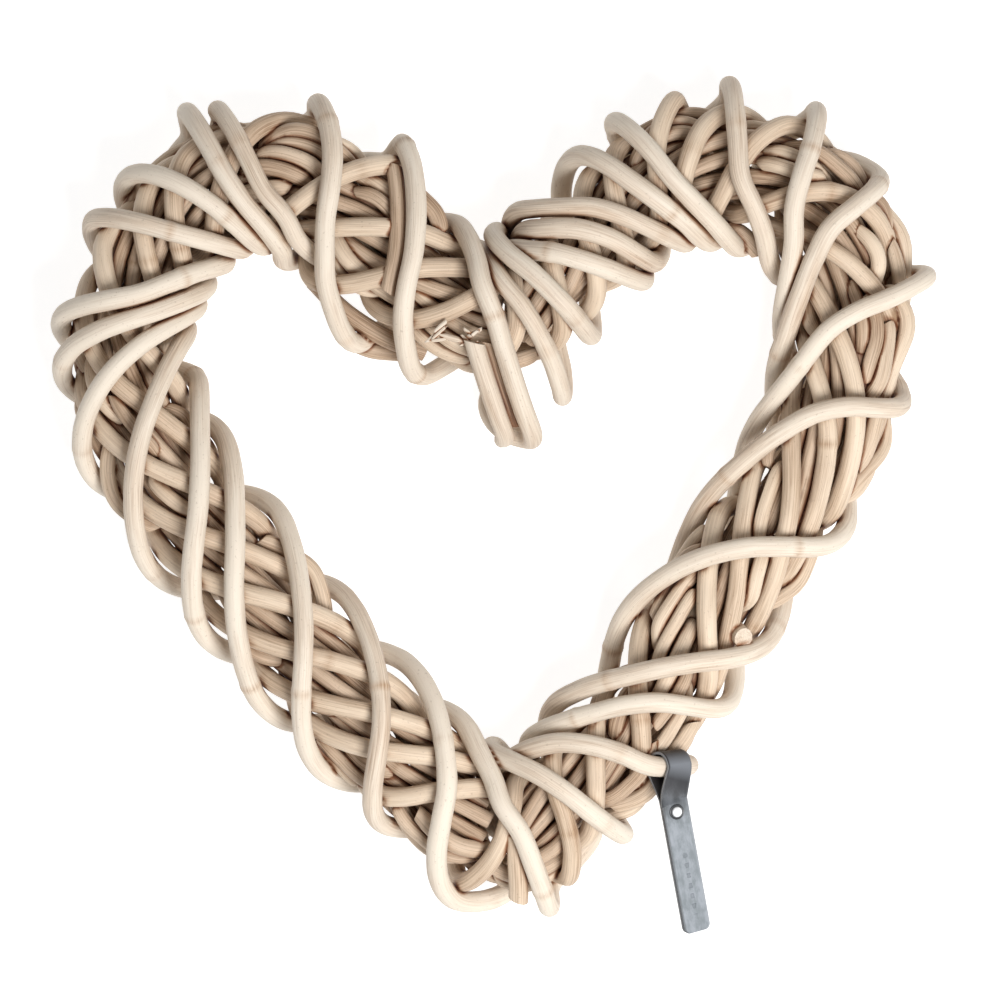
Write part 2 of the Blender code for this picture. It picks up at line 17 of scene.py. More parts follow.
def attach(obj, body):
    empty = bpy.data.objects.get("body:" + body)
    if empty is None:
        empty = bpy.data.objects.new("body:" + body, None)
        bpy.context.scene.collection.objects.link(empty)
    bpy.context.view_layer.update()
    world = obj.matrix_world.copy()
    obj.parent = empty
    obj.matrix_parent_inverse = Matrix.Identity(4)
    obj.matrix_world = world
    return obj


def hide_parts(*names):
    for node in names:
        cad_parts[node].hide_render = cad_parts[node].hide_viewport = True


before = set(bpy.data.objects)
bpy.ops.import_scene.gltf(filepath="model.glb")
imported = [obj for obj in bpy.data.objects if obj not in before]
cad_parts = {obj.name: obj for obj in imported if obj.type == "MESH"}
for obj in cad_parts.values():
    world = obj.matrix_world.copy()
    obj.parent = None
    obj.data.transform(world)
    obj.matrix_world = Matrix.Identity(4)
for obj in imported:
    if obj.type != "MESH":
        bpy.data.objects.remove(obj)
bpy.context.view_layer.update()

# Rods
RIM_ANGLE = 75              # degrees between a packed cane's end and its side
SIDES = 18                  # round a rod
FIRST_CUTS = 15             # along a rod, cut twice over into 16 and then 256 stretches
LINE_STEP = 0.003           # along a middle line
CURVE_PARTS = 12            # between two points of a smooth line before it is cut evenly
END_ROUNDING = 0.0007       # of a rod's end
JOINT_APART = (0.085, 0.19)  # between the joints of a rod
JOINT_FIRST = 0.02          # the nearest that one lies to a rod's first end
JOINT_LAST = 0.01           # and to its last end
JOINT_WIDTH = 0.0016
JOINT_HEIGHT = 0.00045
JOINT_LEAST = 0.02          # share of a joint's height below which it is left out
LUMP_SIZE = 0.030           # of the swellings along a rod
LUMP_HEIGHT = 0.0009
LUMP_LEVEL = 0.55           # the shade of the swellings' texture that leaves the rod as it is
GRAIN_APART = 3.0           # in the grain's own space, between one rod and the next
STRAND_GRAIN = 200.0        # where the short strands' grain begins in it
SOFT_ANGLE = 40             # degrees up to which a rod is shaded smooth

# Openness, which thins the whitewash and sets the painted shade in hollows and seams: how far it
# is looked round a point for other rods, from how far above it, and the rings of rays: degrees
# from upright and rays in each
OPEN_RAY_REACH = 0.016
OPEN_RAY_START = 0.0002
OPEN_RAY_RINGS = ((20, 3), (45, 5), (70, 6))
OPEN_RAY_TURN = 0.37           # by which the rings are turned, so that their rays don't line up

# Camera
LENS = 250.0
SENSOR = 36.0
VIEW_WIDTH = 0.5436
VIEW_HEIGHT = 0.06
VIEW_CENTRE = (0.0040, 0.0020)
VIEW_FAR = 20.0

# Studio
KEY_PLACE = (0.55, -0.60, 1.7)
KEY_SIZE = 0.8
KEY_POWER = 38.2
SKY_POWER = 0.35
FLOOR_SIZE = 6.0
FLOOR_DROP = 0.0002         # below the rods, so that the two don't lie in one plane
FLOOR_GREY = 0.50
FLOOR_GLOW = 0.80

# Short strands that fill the rope between its canes: how many are tried, between which
# angles round the rope, their lengths, radii and rings, how far they turn round the rope,
# the furthest out that they may lie and how far they may press into their neighbours
STRAND_KINDS = (
    (340, (-30, 30), (0.065, 0.160), (0.0036, 0.0052), (0.0235, 0.0285), 0.40, 0.0325, 0.0032),
    (340, (150, 210), (0.065, 0.160), (0.0036, 0.0052), (0.0235, 0.0285), 0.40, 0.0325, 0.0032),
    (620, (-5, 185), (0.080, 0.180), (0.0038, 0.0056), (0.0190, 0.0255), 0.85, 0.0285, 0.0030),
    (150, (185, 355), (0.080, 0.180), (0.0038, 0.0056), (0.0205, 0.0250), 0.70, 0.0285, 0.0030),
)
STRAND_SIDES = 12
STRAND_CUTS = 4             # along a strand, cut twice over into 5 and then 25 stretches
STRAND_STEP = 0.003
STRAND_SHORTEST = 0.042
STRAND_KNOTS = 4            # steps between the points that a strand is first laid through
STRAND_NEAR = 0.014         # how far round a strand its neighbours are looked for
STRAND_BEND = 0.935         # cosine of the sharpest turn that a strand takes within two steps
STRAND_FLAT = (0.7, 1.0)    # its thickness as a share of its width
STRAND_TAPER = (0.003, 0.010)   # from its end, over which it gets slimmer
STRAND_SLIM = (0.15, 0.55)  # the share by which its end is slimmer
STRAND_SLANT = 0.9          # the most that its end is cut aslant
SLANT_REACH = 0.004         # and how far from the end that dies out
SETTLE_ROUNDS = 22
SETTLE_PUSH = 0.6           # share of the push out of a neighbour that one round makes
SETTLE_CALM = 0.3           # share of a bend that one round smooths out
TUCK_REACH = 0.018          # how much of its ends is tucked in, and how far
TUCK_DEPTH = 0.006
MOST_SLIM = {"rod": 0.0, "splinter": 0.6, "strand": 0.22}   # the most slimming of their ends
Z_FRONT = 0.040             # above this a wrapping cane lies on the front
GUIDE_STEP = 0.002
HALF_POINTS = 200           # along the middle of the rope's left or right half
CORNER_SPAN = 9             # guide steps over which a corner of the rope is rounded off

# Rods laid beside a wrapping cane, in metres: the cane, the span in Y over which they follow
# it, the span in X in which it is looked for, how far aside they lie at their upper and at
# their lower end, their radius and their kind
BESIDE = (
    ("wrap_cane_02", (0.032, 0.090), (-0.02, 0.05), (-0.0150, 0, -0.002), (-0.0150, 0, 0.002),
     0.0053, "wrap"),
    ("wrap_cane_02", (0.042, 0.088), (-0.02, 0.05), (-0.0080, 0, -0.010), (-0.0080, 0, -0.006),
     0.0036, "core"),
    ("wrap_cane_02", (0.048, 0.084), (-0.02, 0.05), (-0.0110, 0, -0.014), (-0.0105, 0, -0.010),
     0.0030, "core"),
    ("wrap_cane_11", (0.112, 0.184), (-0.07, -0.03), (-0.0100, 0, -0.007),
     (-0.0095, 0, -0.008), 0.0046, "core"),
    ("wrap_cane_01", (-0.212, -0.176), (0.0, 0.04), (-0.0030, -0.003, -0.010),
     (-0.0135, -0.005, -0.006), 0.0054, "under"),
)

# Splinters at the split upper end of the first rod of those above: how many, how far down
# from the end they begin, how far from its middle, how far they bow, and their sizes
SPLINTERS = 7
SPLINTER_START = 0.012
SPLINTER_SPREAD = 0.003
SPLINTER_BOW = 0.0015
SPLINTER_LENGTH = (0.005, 0.009)
SPLINTER_RADIUS = (0.0009, 0.0016)

# Chips that lie flat beside that end: their middle from it, how far they scatter, and sizes
CHIPS = 10
CHIPS_MIDDLE = np.array([-0.011, 0.006, -0.005])
CHIPS_SPREAD = np.array([0.012, 0.005, 0.002])
CHIP_LENGTH = (0.006, 0.014)
CHIP_RADIUS = (0.0010, 0.0018)

# Rods laid one by one: their kind, radius and the points of their middle lines in metres. Three
# close the rope's inner edge, and the last shows its cut end at the front
PLACED = (
    ("core", 0.0052, ((-0.098, 0.122, 0.034), (-0.081, 0.105, 0.038),
                      (-0.059, 0.091, 0.038), (-0.037, 0.083, 0.034))),
    ("core", 0.0050, ((-0.090, 0.112, 0.028), (-0.081, 0.093, 0.030),
                      (-0.068, 0.085, 0.030), (-0.052, 0.083, 0.028))),
    ("core", 0.0050, ((0.110, 0.146, 0.040), (0.132, 0.149, 0.042), (0.147, 0.136, 0.040))),
    ("wrap", 0.0056, ((0.119, -0.056, 0.033), (0.128, -0.065, 0.050),
                      (0.136, -0.073, 0.070))),
)

# Leather tag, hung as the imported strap: how its halves hang from its end up past its snap, as
# shares of the way down from the snap and how many half gaps they stand from the middle
STRAP_HANG = ((1.0, 1.0), (0.8, 1.0), (0.6, 1.0), (0.4, 1.0), (0.2, 1.0), (0.1, 1.0),
              (0.0, 1.0), (-0.07, 1.05), (-0.14, 2.4))
STRAP_WIDTH = 0.0154
STRAP_THICK = 0.0016
STRAP_GAP = 0.00035
STRAP_CLEAR = 0.0020        # between it and the cane in its fold
STRAP_DROP = (0.0121, -0.0657, -0.0125)     # from the snap to the middle of its end
STRAP_OVER = (-0.0030, 0.0235)              # and to where its fold lies, in X and Y
STRAP_TURN = 9.0            # degrees by which its width points up to the right
STRAP_DIP = 20.0            # and away from the front
STRAP_STEP = 0.0005
STRAP_CORNER = 0.0035
STRAP_CUTS = 15             # along it, cut twice over into 16 and then 256 stretches
STRAP_COLUMNS = 11
STRAP_EDGE = 0.00028        # rounding of its long edges
STRAP_CUT_EDGE = 0.985      # share of its half width beyond which its cut edge shows
STRAP_CUT_END = 1e-5        # and the same in metres at its two ends
FOLD_ANGLES = (-10, 20, 50, 80, 110, 140, 170, 195)    # degrees round the cane in its fold
FOLD_LEAN = 0.65            # share by which the fold's width follows that cane
FOLD_BELOW = 0.012          # how far behind the snap the cane in the fold may lie
SNAP_BEHIND = 0.002625      # from the middle of the snap's ring to the strap's middle
SNAP_RADIUS = 0.0042
SNAP_SIDES = 48
SNAP_RIM_SHADE = (0.65, 0.70)    # shares of its radius between which the painted shade round its rim begins
# The snap's cap from its foot to its crown, as shares of its radius and its height
SNAP_SHAPE = ((1.0, 0.30), (0.97, 0.42), (0.90, 0.48), (0.84, 0.44), (0.78, 0.26),
              (0.72, 0.24), (0.68, 0.52), (0.58, 0.76), (0.40, 0.92), (0.22, 0.99),
              (0.08, 1.0))
SNAP_HEIGHT = 0.0019


# ---- small helpers ----

def alone(piece):
    """Only this piece is selected and active."""
    bpy.ops.object.select_all(action="DESELECT")
    piece.select_set(True)
    bpy.context.view_layer.objects.active = piece


def pick(piece, kind, test):
    """Go to edit mode with only the corners, edges or faces that pass the test selected."""
    alone(piece)
    bpy.ops.object.mode_set(mode="EDIT")
    bpy.ops.mesh.select_mode(type=kind)
    bpy.ops.mesh.select_all(action="DESELECT")
    shape = bmesh.from_edit_mesh(piece.data)
    for part in {"VERT": shape.verts, "EDGE": shape.edges, "FACE": shape.faces}[kind]:
        if test(part):
            part.select_set(True)
    bmesh.update_edit_mesh(piece.data)


def done():
    """Leave edit mode."""
    bpy.ops.object.mode_set(mode="OBJECT")


def cut_along(piece, axis, cuts):
    """Cut every edge that runs along X (0) or Y (1) into more stretches."""
    pick(piece, "EDGE", lambda e: abs(e.verts[0].co[axis] - e.verts[1].co[axis]) > 1e-4)
    bpy.ops.mesh.subdivide(number_cuts=cuts)
    done()


def turn_outwards():
    """From edit mode, turn all faces so that they point out of the piece."""
    bpy.ops.mesh.select_all(action="SELECT")
    bpy.ops.mesh.normals_make_consistent(inside=False)
    done()


def apply_all(piece):
    """Apply the piece's modifiers in their order."""
    alone(piece)
    for modifier in list(piece.modifiers):
        bpy.ops.object.modifier_apply(modifier=modifier.name)


def copied(piece, name):
    """A copy with a mesh of its own."""
    twin = piece.copy()
    twin.data = piece.data.copy()
    twin.name = twin.data.name = name
    bpy.context.scene.collection.objects.link(twin)
    return twin


def remember(mesh, name, kind, values):
    """Keep a value for each corner of the mesh."""
    field = mesh.attributes.new(name, kind, "POINT")
    key = "vector" if kind == "FLOAT_VECTOR" else "value"
    field.data.foreach_set(key, np.ascontiguousarray(values, np.float32).ravel())


def corners(mesh):
    """The places of a mesh's corners."""
    spots = np.empty(len(mesh.vertices) * 3, np.float32)
    mesh.vertices.foreach_get("co", spots)
    return spots.reshape(-1, 3)


def put_corners(mesh, spots):
    """Move a mesh's corners to these places."""
    mesh.vertices.foreach_set("co", spots.astype(np.float32).ravel())


def unit(vector):
    return vector / np.linalg.norm(vector)


def units(vectors):
    """Each of these vectors at length 1."""
    return vectors / np.linalg.norm(vectors, axis=1)[:, None]


# ---- middle lines ----

def cane_line(node):
    """The middles of a packed cane's rings, from one end to the other, and its radius."""
    shape = bmesh.new()
    shape.from_mesh(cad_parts[node].data)
    bmesh.ops.remove_doubles(shape, verts=shape.verts, dist=1e-6)
    shape.verts.index_update()
    rims = [edge for edge in shape.edges
            if edge.calc_face_angle(0.0) > math.radians(RIM_ANGLE)]
    ring = {rims[0].verts[0]}
    while True:
        wider = ring | {v for edge in rims for v in edge.verts if ring & set(edge.verts)}
        if wider == ring:
            break
        ring = wider
    seen, middles, radius = set(ring), [], 0.0
    while ring:
        in_order = sorted(ring, key=lambda v: v.index)      # so that every run gives the same
        middle = Vector(np.mean([v.co for v in in_order], axis=0))
        radius = radius or max((v.co - middle).length for v in ring)
        middles.append(middle)
        ring = {edge.other_vert(v) for v in ring for edge in v.link_edges} - seen
        seen |= ring
    shape.free()
    return np.array(middles), radius


def length_of(line):
    return float(np.linalg.norm(np.diff(line, axis=0), axis=1).sum())


def run_along(line):
    """How far along the line each of its points is."""
    return np.concatenate([[0.0], np.cumsum(np.linalg.norm(np.diff(line, axis=0), axis=1))])


def read_off(at, run, values):
    """The three values told at each place of the run, at other places between them."""
    return np.stack([np.interp(at, run, values[:, k]) for k in range(3)], -1)


def evenly(line, count):
    """The line cut into evenly spaced points."""
    run = run_along(line)
    return read_off(np.linspace(0.0, run[-1], count), run, line)


def smooth_line(points, step):
    """A smooth curve through the points, cut into even steps."""
    p = np.vstack([2 * points[:1] - points[1:2], points, 2 * points[-1:] - points[-2:-1]])
    fine = []
    for a, b, c, d in zip(p, p[1:], p[2:], p[3:]):
        for t in np.arange(CURVE_PARTS) / CURVE_PARTS:
            fine.append(0.5 * (2 * b + (c - a) * t + (2 * a - 5 * b + 4 * c - d) * t * t
                               + (3 * b - a - 3 * c + d) * t ** 3))
    fine = np.vstack([fine, p[-2:-1]])
    return evenly(fine, int(run_along(fine)[-1] / step) + 2)


def bending_curve(line, name):
    """A curve object that bends a straight piece along the line."""
    data = bpy.data.curves.new(name, "CURVE")
    data.dimensions = "3D"
    data.twist_mode = "MINIMUM"
    spline = data.splines.new("POLY")
    spline.points.add(len(line) - 1)
    spline.points.foreach_set("co", np.hstack([line, np.ones((len(line), 1))]).ravel())
    curve = bpy.data.objects.new(name, data)
    bpy.context.scene.collection.objects.link(curve)
    return curve


# ---- rods ----

def rod_blank(sides, cuts):
    """A straight rod from 0 to 1 on X, of radius 1, cut into rings."""
    bpy.ops.object.select_all(action="DESELECT")
    bpy.ops.mesh.primitive_cylinder_add(vertices=sides, radius=1.0, depth=1.0,
                                        location=(0.5, 0, 0), rotation=(0, math.pi / 2, 0))
    blank = bpy.context.object
    bpy.ops.object.transform_apply(location=True, rotation=True, scale=True)
    for _ in range(2):
        cut_along(blank, 0, cuts)
    return blank


def joints_along(length, chance):
    """Where a rod's joints are."""
    places, at = [], chance.uniform(JOINT_FIRST, JOINT_APART[1])
    while at < length - JOINT_LAST:
        places.append(at)
        at += chance.uniform(*JOINT_APART)
    return places


def bend_along(piece, line, name):
    """Bend a straight piece along the line and shade it smooth."""
    bend = piece.modifiers.new("bend", "CURVE")
    bend.object = bending_curve(line, name)
    bend.deform_axis = "POS_X"
    apply_all(piece)
    bpy.ops.object.shade_smooth_by_angle(angle=math.radians(SOFT_ANGLE))


def rattan_rod(blank, node, number, line, radius):
    """One rattan rod in place of a packed cane."""
    chance = random.Random(number)
    length = length_of(line)
    rod = copied(blank, node.replace("cane", "rod"))
    rod.data.transform(Matrix.Diagonal((length, radius, radius, 1.0)))
    pick(rod, "FACE", lambda f: len(f.verts) > 4)
    bpy.ops.mesh.bevel(offset=END_ROUNDING, segments=2, affect="EDGES")
    done()
    spots = corners(rod.data)
    joint = np.zeros(len(spots))
    for at in joints_along(length, chance):
        joint = np.maximum(joint, np.exp(-((spots[:, 0] - at) / JOINT_WIDTH) ** 2))
    remember(rod.data, "rod", "FLOAT_VECTOR", spots + np.array([GRAIN_APART * number, 0, 0]))
    remember(rod.data, "joint", "FLOAT", joint)
    remember(rod.data, "tone", "FLOAT", np.full(len(spots), chance.uniform(-1.0, 1.0)))
    ridges = rod.vertex_groups.new(name="joints")
    for k in np.flatnonzero(joint > JOINT_LEAST):
        ridges.add([int(k)], float(joint[k]), "REPLACE")
    ridge = rod.modifiers.new("joints", "DISPLACE")
    ridge.vertex_group = ridges.name
    ridge.mid_level = 0.0
    ridge.strength = JOINT_HEIGHT
    lumps = rod.modifiers.new("lumps", "DISPLACE")
    lumps.texture = LUMPS
    lumps.texture_coords = "LOCAL"
    lumps.mid_level = LUMP_LEVEL
    lumps.strength = LUMP_HEIGHT
    bend_along(rod, line, node + "_line")
    rod.vertex_groups.clear()
    return rod


# ---- short strands ----

class Rope:
    """The middle of the rope, once round the heart from its tip over the left half."""

    def __init__(self, lines):
        halves = []
        for half, rises in (("left", True), ("right", False)):
            bundle = [line for node, (line, _) in lines.items() if f"core_cane_{half}" in node]
            bundle = [line if (line[-1, 1] > line[0, 1]) == rises else line[::-1]
                      for line in bundle]
            halves.append(np.mean([evenly(line, HALF_POINTS) for line in bundle], axis=0))
        loop = np.vstack(halves + [halves[0][:1]])
        self.length = length_of(loop)
        self.count = int(self.length / GUIDE_STEP)
        self.middle = evenly(loop, self.count + 1)[:-1]
        ahead = units(np.roll(self.middle, -CORNER_SPAN, 0)
                      - np.roll(self.middle, CORNER_SPAN, 0))
        self.outward = np.stack([-ahead[:, 1], ahead[:, 0], np.zeros(self.count)], -1)

    def place(self, run, angle, ring):
        """Points so far along the rope, at an angle from outward to the front."""
        at = (np.asarray(run) / self.length * self.count).astype(int) % self.count
        across = np.cos(angle)[:, None] * self.outward[at]
        across[:, 2] += np.sin(angle)
        return self.middle[at] + np.asarray(ring)[..., None] * across

    def ring_of(self, line):
        """How far each point is from the rope's middle."""
        return np.linalg.norm(line[:, None] - self.middle[None], axis=2).min(axis=1)

    def tucked(self, line):
        """A line with its ends bent in towards the rope's middle."""
        near = np.linalg.norm(line[:, None] - self.middle[None], axis=2).argmin(axis=1)
        inward = units(self.middle[near] - line)
        run = STRAND_STEP * np.arange(len(line))
        share = np.clip(1.0 - np.minimum(run, run[-1] - run) / TUCK_REACH, 0.0, None)
        return line + TUCK_DEPTH * share[:, None] ** 2 * inward


def settle(line, radius, near, near_radius):
    """Push a strand out of the canes round it, and find how deep it still presses in."""
    rows = np.arange(len(line))
    for _ in range(SETTLE_ROUNDS):
        gap = line[:, None] - near[None]
        apart = np.linalg.norm(gap, axis=2)
        deep = radius + near_radius[None] - apart
        worst = deep.argmax(axis=1)
        push = np.clip(deep[rows, worst], 0.0, None) / apart[rows, worst]
        line = line + SETTLE_PUSH * push[:, None] * gap[rows, worst]
        line[1:-1] += SETTLE_CALM * (line[:-2] + line[2:] - 2 * line[1:-1])
    apart = np.linalg.norm(line[:, None] - near[None], axis=2)
    return line, (radius + near_radius[None] - apart).max(axis=1)


def is_calm(line):
    """Where a line bends gently enough for a cane."""
    way = units(line[2:] - line[:-2])
    turn = (way[2:] * way[:-2]).sum(axis=1)
    return np.concatenate([[True] * 2, turn > STRAND_BEND, [True] * 2])


def longest_run(fits):
    """The first and last place of the longest stretch that fits."""
    best, first = (0, 0), None
    for k, fit in enumerate(list(fits) + [False]):
        if fit and first is None:
            first = k
        if not fit and first is not None:
            if k - first > best[1] - best[0]:
                best = (first, k)
            first = None
    return best


def lay_strands(lines):
    """The middle lines and radii of the short strands that fit between the canes."""
    rope = Rope(lines)
    chance = random.Random(11)
    spots = np.vstack([evenly(line, int(length_of(line) / STRAND_STEP))
                       for line, _ in lines.values()])
    girth = np.concatenate([np.full(int(length_of(line) / STRAND_STEP), radius)
                            for line, radius in lines.values()])
    found = []
    tries = [kind for kind in STRAND_KINDS for _ in range(kind[0])]
    for _, angles, lengths, radii, rings, most_turn, furthest, touch in tries:
        length = chance.uniform(*lengths)
        start = chance.uniform(0.0, rope.length)
        angle = math.radians(chance.uniform(*angles))
        turn = chance.uniform(-most_turn, most_turn)
        ring = chance.uniform(*rings)
        radius = chance.uniform(*radii)
        along = np.linspace(0.0, 1.0, int(length / STRAND_STEP))
        line = rope.place(start + along * length, angle + turn * along,
                          np.full(len(along), ring))
        line = evenly(smooth_line(line[::STRAND_KNOTS], STRAND_STEP), len(line))
        low, high = line.min(axis=0) - STRAND_NEAR, line.max(axis=0) + STRAND_NEAR
        close = np.flatnonzero(((spots > low) & (spots < high)).all(axis=1))
        line, deep = settle(line, radius, spots[close], girth[close])
        fits = (deep < touch) & (rope.ring_of(line) < furthest) & is_calm(line)
        first, last = longest_run(fits)
        if (last - first) * STRAND_STEP < STRAND_SHORTEST:
            continue
        line = rope.tucked(line[first:last])
        found.append((line, radius))
        spots = np.vstack([spots, line])
        girth = np.concatenate([girth, np.full(len(line), radius)])
    return found


def rod_beside(lines, node, heights, spans, upper, lower, radius, kind):
    """The middle line of a rod that lies beside a stretch of a wrapping cane's front."""
    line = lines[node][0]
    x, y, z = line.T
    inside = (y > heights[0]) & (y < heights[1]) & (x > spans[0]) & (x < spans[1])
    first, last = longest_run(inside & (z > Z_FRONT))
    line = line[first:last]
    if line[0, 1] < line[-1, 1]:
        line = line[::-1]
    share = np.linspace(0.0, 1.0, len(line))[:, None]
    return line + (1 - share) * np.array(upper) + share * np.array(lower), radius, kind


def splinters(line):
    """Thin split ends at the upper end of a rod, and chips that lie beside it."""
    chance = random.Random(5)
    found = []
    for _ in range(SPLINTERS):
        root = line[min(int(chance.uniform(0.0, SPLINTER_START) / STRAND_STEP),
                        len(line) - 1)]
        way = unit(line[0] - line[3]) + np.array([chance.uniform(-1.2, 0.3),
                                                  chance.uniform(-0.4, 0.2),
                                                  chance.uniform(-0.8, -0.2)])
        aside = np.array([chance.uniform(-1, 1), 0.0, chance.uniform(-1, 0.5)])
        root = root + aside * SPLINTER_SPREAD
        length = chance.uniform(*SPLINTER_LENGTH)
        bow = np.array([chance.uniform(-1, 1), chance.uniform(-1, 1), 0.0]) * SPLINTER_BOW
        along = np.linspace(-0.3, 1.0, 9)[:, None]
        splinter = root + along * length * unit(way) + np.sin(math.pi * along / 2) ** 2 * bow
        found.append((splinter, chance.uniform(*SPLINTER_RADIUS)))
    for _ in range(CHIPS):
        scatter = np.array([chance.uniform(-1, 1) for _ in range(3)]) * CHIPS_SPREAD
        way = unit(np.array([1.0, chance.uniform(-0.8, 1.0), chance.uniform(-0.15, 0.15)]))
        along = chance.uniform(*CHIP_LENGTH) * np.linspace(-0.5, 0.5, 7)[:, None]
        found.append((line[0] + CHIPS_MIDDLE + scatter + along * way,
                      chance.uniform(*CHIP_RADIUS)))
    return found


def strand(blank, line, radius, number, most_slim):
    """One short strand, with slanting ends and a slightly flattened section."""
    chance = random.Random(500 + number)
    length = length_of(line)
    piece = copied(blank, f"strand_{number:03d}")
    thick = radius * chance.uniform(*STRAND_FLAT)
    piece.data.transform(Matrix.Diagonal((length, radius, thick, 1.0)))
    spots = corners(piece.data)
    taper = chance.uniform(*STRAND_TAPER)
    end = np.minimum(spots[:, 0], length - spots[:, 0])
    slimmer = min(chance.uniform(*STRAND_SLIM), most_slim)
    slim = 1.0 - slimmer * (1.0 - np.clip(end / taper, 0.0, 1.0) ** 0.6)
    slant = chance.uniform(-STRAND_SLANT, STRAND_SLANT) * np.exp(-end / SLANT_REACH)
    put_corners(piece.data, np.stack([spots[:, 0] + slant * spots[:, 1],
                                      spots[:, 1] * slim, spots[:, 2] * slim], -1))
    grain = np.array([STRAND_GRAIN + GRAIN_APART * number, 0, 0])
    remember(piece.data, "rod", "FLOAT_VECTOR", spots + grain)
    remember(piece.data, "joint", "FLOAT", np.zeros(len(spots)))
    remember(piece.data, "tone", "FLOAT", np.full(len(spots), chance.uniform(-1.0, 1.0)))
    bend_along(piece, smooth_line(line, STRAND_STEP), piece.name + "_line")
    return piece


def rest_on_floor(piece):
    """Flatten the piece where its swellings would sink into the floor."""
    spots = corners(piece.data)
    spots[:, 2] = np.maximum(spots[:, 2], 0.0)
    put_corners(piece.data, spots)


def wash_and_shade_openness(pieces):
    """Keep on every piece how open each of its corners is to rays cast round it, from 0 to 1:
    the measure behind the thinned whitewash and the painted shade in the hollows and seams.
    """
    spots, faces = [], []
    for piece in pieces:
        first = len(spots)
        spots += [v.co.copy() for v in piece.data.vertices]
        faces += [[first + k for k in face.vertices] for face in piece.data.polygons]
    tree = BVHTree.FromPolygons(spots, faces)
    rays = []
    for lean, count in OPEN_RAY_RINGS:
        lean = math.radians(lean)
        for k in range(count):
            turn = 2 * math.pi * (k + OPEN_RAY_TURN * count) / count
            rays.append((math.sin(lean) * math.cos(turn), math.sin(lean) * math.sin(turn),
                         math.cos(lean)))
    for piece in pieces:
        found = []
        for vertex in piece.data.vertices:
            normal = vertex.normal
            side = normal.orthogonal().normalized()
            other = normal.cross(side)
            start = vertex.co + OPEN_RAY_START * normal
            free, nearest = 0.0, 1.0
            for x, y, z in rays:
                hit = tree.ray_cast(start, x * side + y * other + z * normal, OPEN_RAY_REACH)[3]
                share = 1.0 if hit is None else hit / OPEN_RAY_REACH
                free += share
                nearest = min(nearest, share)
            found.append((free / len(rays), nearest))
        found = np.array(found)
        remember(piece.data, "open", "FLOAT", found[:, 0])
        remember(piece.data, "apart", "FLOAT", found[:, 1])


# ---- leather tag ----

def strap_frame():
    """The snap's place on the strap, and the strap's directions: across, up and to the front."""
    turn, dip = math.radians(STRAP_TURN), math.radians(STRAP_DIP)
    across = np.array([math.cos(turn) * math.cos(dip), math.sin(turn) * math.cos(dip),
                       -math.sin(dip)])
    up = unit(-np.array(STRAP_DROP))
    across = unit(across - across @ up * up)
    front = np.cross(across, up)
    ring = corners(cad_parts["tag_snap_ring"].data).mean(axis=0)
    snap = ring + SNAP_BEHIND * front
    return snap, snap + np.array(STRAP_DROP), across, up, front


def strap_rows(lines):
    """Places, width directions and outward normals along the strap, front end to back end."""
    snap, end, across, up, front = strap_frame()
    cane, radius = lines["wrap_cane_03"]
    above = cane[cane[:, 2] > snap[2] - FOLD_BELOW]
    wanted = snap[:2] + np.array(STRAP_OVER)
    fold = above[np.argmin(np.hypot(*(above[:, :2] - wanted).T))]
    k = int(np.argmin(np.linalg.norm(cane - fold, axis=1)))
    way = unit(cane[k + 1] - cane[k - 1])
    way = way if way[0] > 0 else -way
    high = unit(np.array([0.0, 1.0, 0.0]) - way[1] * way)
    out = np.cross(way, high)
    loop = radius + STRAP_CLEAR + 0.5 * STRAP_THICK
    half = 0.5 * (STRAP_THICK + STRAP_GAP) * front
    knots = [np.append(snap + share * (end - snap) + apart * half, across)
             for share, apart in STRAP_HANG]
    for angle in np.radians(FOLD_ANGLES):
        spot = fold + loop * (math.cos(angle) * out + math.sin(angle) * high)
        knots.append(np.append(spot, unit((1 - FOLD_LEAN) * across + FOLD_LEAN * way)))
    knots += [np.append(snap + share * (end - snap) - apart * half, across)
              for share, apart in STRAP_HANG[::-1]]
    knots = np.array(knots)
    line = smooth_line(knots[:, :3], STRAP_STEP)
    told = run_along(knots[:, :3])
    wide = read_off(np.linspace(0.0, told[-1], len(line)), told, knots[:, 3:])
    ahead = units(np.gradient(line, axis=0))
    wide = units(wide - (wide * ahead).sum(axis=1)[:, None] * ahead)
    return line, wide, np.cross(wide, ahead)


